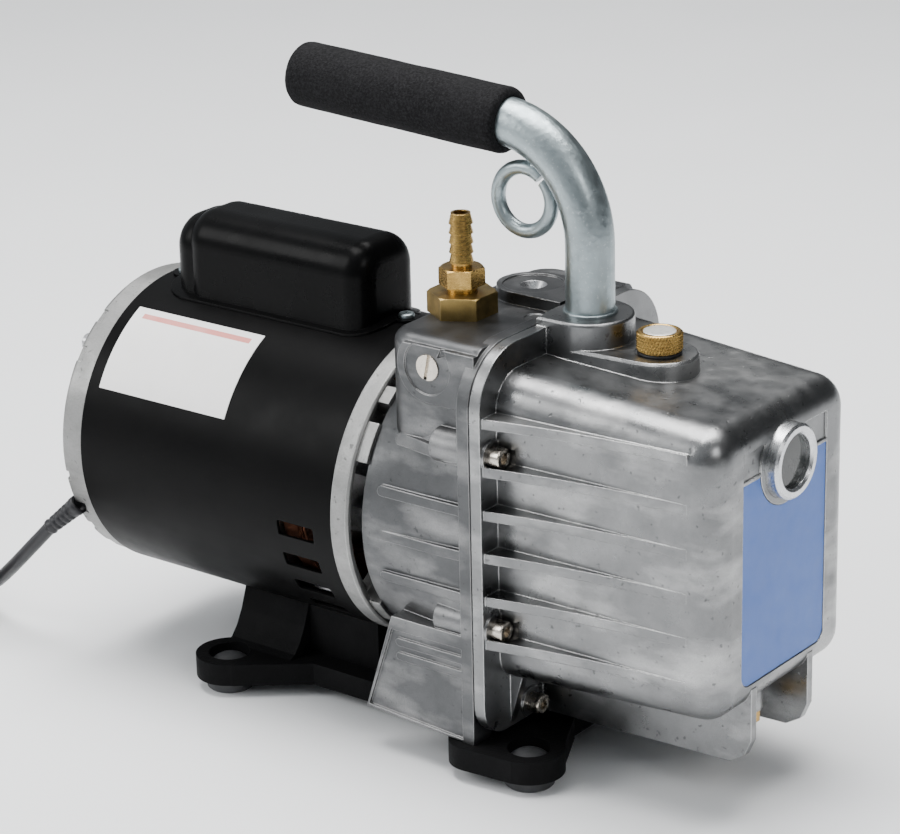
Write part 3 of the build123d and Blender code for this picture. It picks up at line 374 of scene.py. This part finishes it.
def make_finishes():
    return {
        "base_black": painted_black("base_black", (0.006, 0.006, 0.0063), 0.42, 0.6, 700, 0.0003, 0.3, 0.03),
        "motor_black": painted_black("motor_black", (0.002, 0.002, 0.0021), 0.34, 0.44, 1300, 0.00006, 0.2),
        "cover_black": painted_black("cover_black", (0.002, 0.002, 0.0021), 0.24, 0.34, 520, 0.00008, 0.2),
        "black_plastic": rubbery("black_plastic", (0.022, 0.022, 0.023), 0.38, 0.55, 900, 0.0001),
        "switch_plastic": rubbery("switch_plastic", (0.016, 0.016, 0.017), 0.2, 0.32, 600, 0.00004),
        "foot_rubber": rubbery("foot_rubber", (0.040, 0.041, 0.043), 0.42, 0.6),
        "seal_rubber": rubbery("seal_rubber", (0.014, 0.014, 0.015), 0.45, 0.6),
        "cord_black": rubbery("cord_black", (0.012, 0.012, 0.014), 0.36, 0.5, 700, 0.00006),
        "vane_composite": rubbery("vane_composite", (0.10, 0.085, 0.06), 0.45, 0.6),
        "shield_cast": cast_metal("shield_cast", (0.31, 0.31, 0.305), (0.16, 0.16, 0.157), (0.62, 0.62, 0.60),
                                  0.42, 0.60, pit=0.6, blotch=0.45, grit=1000, depth=0.00035),
        "housing_cast": cast_metal("housing_cast", (0.108, 0.110, 0.113), (0.055, 0.057, 0.059),
                                   (0.36, 0.36, 0.36),
                                   0.34, 0.50, pit=0.45, blotch=0.6),
        "reservoir_cast": cast_metal("reservoir_cast", (0.225, 0.228, 0.23), (0.12, 0.122, 0.124),
                                     (0.56, 0.56, 0.555),
                                     0.24, 0.40, pit=0.55, blotch=0.6, grit=1900, depth=0.00008),
        "iron": cast_metal("iron", (0.36, 0.36, 0.37), (0.2, 0.2, 0.2), (0.55, 0.55, 0.55), 0.35, 0.5),
        "zinc": zinc_finish(),
        "brass": turned_metal("brass", (0.56, 0.36, 0.11), (0.26, 0.15, 0.045), 0.20, 0.34, 320, 0.55,
                              (1, 1, 6)),
        "brass_dull": turned_metal("brass_dull", (0.40, 0.28, 0.10), (0.17, 0.12, 0.045), 0.28, 0.44, 260,
                                   0.7,
                                   (6, 1, 1), 0.0005),
        "steel": turned_metal("steel", (0.55, 0.55, 0.56), (0.3, 0.3, 0.31), 0.25, 0.4, 260, 0.4, (1, 5, 5)),
        "screw_steel": turned_metal("screw_steel", (0.62, 0.57, 0.50), (0.33, 0.29, 0.24), 0.18, 0.32, 400,
                                    0.5),
        "bezel_steel": turned_metal("bezel_steel", (0.66, 0.67, 0.68), (0.42, 0.43, 0.44), 0.22, 0.34, 300,
                                    0.4,
                                    (6, 1, 1), 0.0004),
        "white_label": label_finish(),
        "blue_plate": plate_finish(),
        "glass": glass_finish(),
        "foam": foam_finish(),
        "copper": copper_finish(),
        "floor": floor_finish(),
    }


def paint(obj, material):
    obj.data.materials.clear()
    obj.data.materials.append(material)
    return obj


# ---------------------------------------------------------------- pieces

def piece(name, mesh_maker, material, body, smooth=True):
    bm = bmesh.new()
    mesh_maker(bm)
    bmesh.ops.recalc_face_normals(bm, faces=bm.faces)
    mesh = bpy.data.meshes.new(name)
    bm.to_mesh(mesh)
    bm.free()
    for face in mesh.polygons:
        face.use_smooth = smooth
    obj = bpy.data.objects.new(name, mesh)
    bpy.context.scene.collection.objects.link(obj)
    paint(obj, material)
    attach(obj, body)
    return obj


def frame_on(origin, axis):
    """Matrix whose z is the axis."""
    z = axis.normalized()
    side = Vector((0, 1, 0)) if abs(z.y) < 0.9 else Vector((1, 0, 0))
    x = side.cross(z).normalized()
    y = z.cross(x)
    turn = Matrix((x, y, z)).transposed().to_4x4()
    return Matrix.Translation(origin) @ turn


def lathe(bm, place, profile, steps=48, wobble=None, closed=False):
    """Turns (radius, height) pairs about the z of a placing matrix. Ends of radius 0 close the form."""
    rings = []
    for r, h in profile:
        if r <= 0:
            rings.append([bm.verts.new(place @ Vector((0, 0, h)))])
            continue
        ring = []
        for k in range(steps):
            a = 2 * pi * k / steps
            reach = r + (wobble(a, h) if wobble else 0.0)
            ring.append(bm.verts.new(place @ Vector((reach * cos(a), reach * sin(a), h))))
        rings.append(ring)
    pairs = list(zip(rings, rings[1:]))
    if closed:
        pairs.append((rings[-1], rings[0]))
    for low, high in pairs:
        for k in range(steps):
            j = (k + 1) % steps
            corners = [low[k % len(low)], low[j % len(low)], high[j % len(high)], high[k % len(high)]]
            corners = list(dict.fromkeys(corners))
            if len(corners) > 2:
                bm.faces.new(corners)


# Cord in millimetres, x from the parting plane: the route's points, then the coil's turns in the same spline
CORD_R = 0.0034
CORD_ROUTE = ((-259.0, -72.3, 65.2), (-272.5, -74.5, 51.0), (-289.0, -71.8, 36.0), (-307.5, -65.0, 21.8),
              (-326.5, -57.0, 10.0), (-345.0, -50.5, 3.9), (-362.0, -48.2, 3.6))
CORD_EXIT = (-245.0, -66.5, 78.2)
COIL_CENTRE = (-362.0, -92.5)
COIL_PITCH = 6.9
COIL_COLUMNS = (44.2, 37.4, 30.5)   # radius of each turn
COIL_STEP_AT = 0.72                 # share of a turn after which it moves to the next radius
PLUG_NECK = (-378.5, -119.5, 32.0)


def coil_points():
    """Turns from the outside in, back out on the second layer, and one more on top that ends in the plug."""
    radii = list(COIL_COLUMNS) + list(reversed(COIL_COLUMNS)) + [COIL_COLUMNS[1], COIL_COLUMNS[1]]
    levels = [0, 0, 0, 1, 1, 1, 2, 2]
    per_turn = 16
    points = []
    grow = 1 / cos(pi / per_turn)
    for k in range(1, 7 * per_turn + 5):
        turn, part = divmod(k, per_turn)
        share = max(0.0, (part / per_turn - COIL_STEP_AT) / (1 - COIL_STEP_AT))
        follow = min(turn + 1, len(radii) - 1)
        r = radii[turn] + (radii[follow] - radii[turn]) * share
        z = 3.6 + COIL_PITCH * (levels[turn] + (levels[follow] - levels[turn]) * share)
        angle = pi / 2 + 2 * pi * k / per_turn
        points.append((COIL_CENTRE[0] + r * grow * cos(angle), COIL_CENTRE[1] + r * grow * sin(angle), z))
    inner = 27.5                    # bend into the plug
    centre_x = COIL_CENTRE[0] - COIL_COLUMNS[1] + inner
    for k, z in enumerate((20.4, 24.6, 29.0, 31.6)):
        angle = pi + 2 * pi * (k + 1) / per_turn
        points.append((centre_x + inner * grow * cos(angle), COIL_CENTRE[1] + inner * grow * sin(angle), z))
    return points


def make_cord(finishes):
    x, y, z = PLUG_NECK
    points = [at(*p) for p in list(CORD_ROUTE) + coil_points() + [(x + 12.0, y, z)]]
    data = bpy.data.curves.new("power_cord_lead", "CURVE")
    data.dimensions = "3D"
    data.bevel_depth = CORD_R
    data.bevel_resolution = 5
    data.resolution_u = 6
    data.use_fill_caps = True
    spline = data.splines.new("NURBS")
    spline.points.add(len(points) - 1)
    for target, p in zip(spline.points, points):
        target.co = (*p, 1.0)
    spline.order_u = 3
    spline.use_endpoint_u = True
    cord = bpy.data.objects.new("power_cord_lead", data)
    bpy.context.scene.collection.objects.link(cord)
    data.materials.append(finishes["cord_black"])
    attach(cord, "pump")
    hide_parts("power_cord", "cord_coil")
    return cord


def make_plug(finishes):
    x, y, z = PLUG_NECK
    neck_place = frame_on(at(x, y, z), Vector((1, 0, 0)))

    def body(bm):
        profile = [(0.0, 0.0), (0.0036, 0.0), (0.0046, 0.0006)]
        for k in range(5):
            h = 0.003 + 0.0042 * k
            r = 0.0052 + 0.0005 * k
            profile += [(r, h), (r, h + 0.0022), (r - 0.0009, h + 0.0026), (r - 0.0009, h + 0.0038)]
        profile += [(0.0075, 0.0245), (0.0100, 0.0290), (0.0121, 0.0340), (0.0126, 0.0400), (0.0124, 0.0480),
                    (0.0122, 0.0560), (0.0127, 0.0600), (0.0128, 0.0632), (0.0118, 0.0641), (0.0, 0.0641)]
        lathe(bm, neck_place, profile, 40)
        body_start, flat_edge, flat_middle = 0.026, 0.9, 0.92
        for v in bm.verts:
            local = neck_place.inverted() @ v.co
            if local.z > body_start:
                local.x *= flat_middle if abs(local.x) < 0.004 else flat_edge
                v.co = neck_place @ local

    plug = piece("mains_plug_body", body, finishes["cord_black"], "pump")
    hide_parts("power_plug")
    return plug


def make_strain_relief(finishes):
    root, tip = at(*CORD_EXIT), at(*CORD_ROUTE[0])
    length = (tip - root).length
    place = frame_on(root, tip - root)

    def boot(bm):
        profile = [(0.0035, -0.001), (0.0050, -0.001), (0.0050, 0.0018)]
        rings = 5
        for k in range(rings):
            h = 0.0022 + (length - 0.0045) * k / rings
            r = 0.0047 - 0.0008 * k / rings
            profile += [(r, h), (r, h + 0.0016), (r - 0.0006, h + 0.0019), (r - 0.0006, h + 0.0026)]
        profile += [(0.0041, length - 0.001), (0.0038, length + 0.0004), (0.00345, length + 0.0004)]
        lathe(bm, place, profile, 36, closed=True)

    relief = piece("cord_strain_relief_boot", boot, finishes["cord_black"], "pump")
    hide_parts("strain_relief")
    return relief


def make_tie(finishes):
    """Strap round the coil's turns, on the side towards the motor."""
    angle = radians(50)
    centre_r = 0.0374
    out = Vector((cos(angle), sin(angle), 0))
    centre = at(*COIL_CENTRE, 0) + Vector((centre_r * cos(angle), centre_r * sin(angle), 0.0108))
    along = Vector((-sin(angle), cos(angle), 0))

    half_wide, half_high, half_strap, thick, squareness = 0.0111, 0.0106, 0.0035, 0.0006, 0.45

    def strap(bm):
        rows = []
        for k in range(28):
            a = 2 * pi * k / 28
            c, s = cos(a), sin(a)
            dx = half_wide * (abs(c) ** squareness) * (1 if c > 0 else -1)
            dz = half_high * (abs(s) ** squareness) * (1 if s > 0 else -1)
            row = []
            for w, t in ((-half_strap, 0), (half_strap, 0), (half_strap, thick), (-half_strap, thick)):
                spot = centre + out * (dx + t * c) + Vector((0, 0, max(dz + t * s, -half_high))) + along * w
                row.append(bm.verts.new(spot))
            rows.append(row)
        for k, row in enumerate(rows):
            other = rows[(k + 1) % len(rows)]
            for j in range(4):
                bm.faces.new((row[j], row[(j + 1) % 4], other[(j + 1) % 4], other[j]))

    return piece("cord_coil_tie", strap, finishes["black_plastic"], "pump")


def make_foam(finishes):
    """Foam sleeve with rounded ends and the slight unevenness of extruded foam."""
    rise = radians(2.86)
    turn = radians(90 - 2.86)
    start = at(16.3 - 50 + 50 * cos(turn), 0, 239.2 + 50 * sin(turn))
    along = Vector((-cos(rise), 0, sin(rise)))
    place = frame_on(start - along * 0.0044, along)
    length = 0.119
    outer, inner = 0.0152, 0.01115

    def uneven(a, h):
        return 0.00022 * noise.noise(Vector((3 * cos(a), 3 * sin(a), 60 * h)))

    def sleeve(bm):
        profile = [(inner, 0.0), (inner + 0.0012, -0.0001), (outer - 0.0024, 0.0001), (outer - 0.0010, 0.0006),
                   (outer - 0.0003, 0.0016), (outer, 0.0032)]
        steps = 44
        profile += [(outer, 0.0032 + (length - 0.0064) * k / steps) for k in range(1, steps + 1)]
        profile += [(outer - 0.0003, length - 0.0016), (outer - 0.0010, length - 0.0006),
                    (outer - 0.0024, length - 0.0001), (inner + 0.0012, length), (inner, length - 0.0004)]
        lathe(bm, place, profile, 72, wobble=uneven, closed=True)

    foam = piece("foam_grip_sleeve", sleeve, finishes["foam"], "pump")
    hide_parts("foam_grip")
    return foam


def make_cap(finishes):
    """Knurled fill cap with a pale disc let into its top."""
    low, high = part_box("oil_fill_cap")
    centre = (low + high) / 2
    top = high.z
    head_z = top - 0.009
    place = Matrix.Translation(Vector((centre.x, centre.y, 0)))
    radius = 0.0100
    teeth = 42

    def knurl(a, h):
        if not head_z + 0.0006 < h < top - 0.0006:
            return 0.0
        rise = (h - head_z) / 0.0031
        first = abs(((a * teeth / (2 * pi) + rise) % 1.0) - 0.5)
        second = abs(((a * teeth / (2 * pi) - rise) % 1.0) - 0.5)
        return 0.00125 * (min(first, second) - 0.16)

    def head(bm):
        profile = [(0.0, low.z), (0.0074, low.z), (0.0077, low.z + 0.0006), (0.0077, head_z), (0.0092, head_z),
                   (0.0098, head_z + 0.0003)]
        rows = 40
        profile += [(radius, head_z + 0.0007 + (0.009 - 0.0014) * k / rows) for k in range(rows + 1)]
        profile += [(0.0097, top - 0.0003), (0.0091, top), (0.0080, top), (0.0077, top - 0.0003),
                    (0.0077, top - 0.0008), (0.0, top - 0.0008)]
        lathe(bm, place, profile, 420, wobble=knurl)

    cap = piece("oil_fill_cap_knurled", head, finishes["brass"], "fill_cap")
    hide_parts("oil_fill_cap")

    def disc(bm):
        profile = [(0.0, top - 0.0008), (0.0074, top - 0.0008), (0.0074, top - 0.0003),
                   (0.0071, top - 0.0001), (0.0052, top - 0.0001), (0.0, top - 0.0001)]
        lathe(bm, place, profile, 64)

    f = Finish("cap_disc", (0.62, 0.62, 0.60), metallic=0.6, roughness=0.4)
    f.tint(f.between(f.grain(600, 3), 0.5, 0.7, 0, 0.6), (0.42, 0.42, 0.41))
    f.shine(f.between(f.grain(900, 2), 0.3, 0.7, 0.32, 0.5))
    f.bump(f.grain(1500, 2), 0.00006, 0.5)
    piece("oil_cap_disc", disc, f.done(), "fill_cap")


def make_weld(finishes):
    """Small weld where the hanging ring meets the tube."""

    def bead(bm):
        for k, (dx, dz, r) in enumerate(((-3.6, 12.4, 2.6), (-1.2, 14.0, 3.0), (1.6, 14.6, 2.6))):
            made = bmesh.ops.create_icosphere(bm, subdivisions=3, radius=r / 1000)
            centre = at(-19 + 4 + dx, 0, 254.2 + 1.5 + dz)
            for v in made["verts"]:
                bulge = 1 + 0.22 * noise.noise(v.co * 700 + Vector((k, 0, 0)))
                v.co = Vector((v.co.x * bulge, v.co.y * bulge * 0.9, v.co.z * bulge * 0.8)) + centre

    return piece("hang_ring_weld", bead, finishes["zinc"], "pump")


def make_floor(finishes):
    bm = bmesh.new()
    lathe(bm, Matrix.Identity(4), [(0.0, 0.0), (0.6, 0.0), (2.5, 0.0), (8.0, 0.0)], 64)
    mesh = bpy.data.meshes.new("floor")
    bm.to_mesh(mesh)
    bm.free()
    obj = bpy.data.objects.new("floor", mesh)
    bpy.context.scene.collection.objects.link(obj)
    paint(obj, finishes["floor"])


DULL = {"intake_bushing": "brass_dull"}


def main():
    make_camera()
    make_lights()
    finishes = make_finishes()
    for row in frame["record"]["subparts"]:
        name = row["node"]
        finish = DULL.get(name, row.get("material_slot"))
        paint(NODES[name], finishes[finish])
    cord = make_cord(finishes)
    relief = make_strain_relief(finishes)
    plug = make_plug(finishes)
    tie = make_tie(finishes)
    make_foam(finishes)
    make_cap(finishes)
    make_weld(finishes)
    make_floor(finishes)


main()
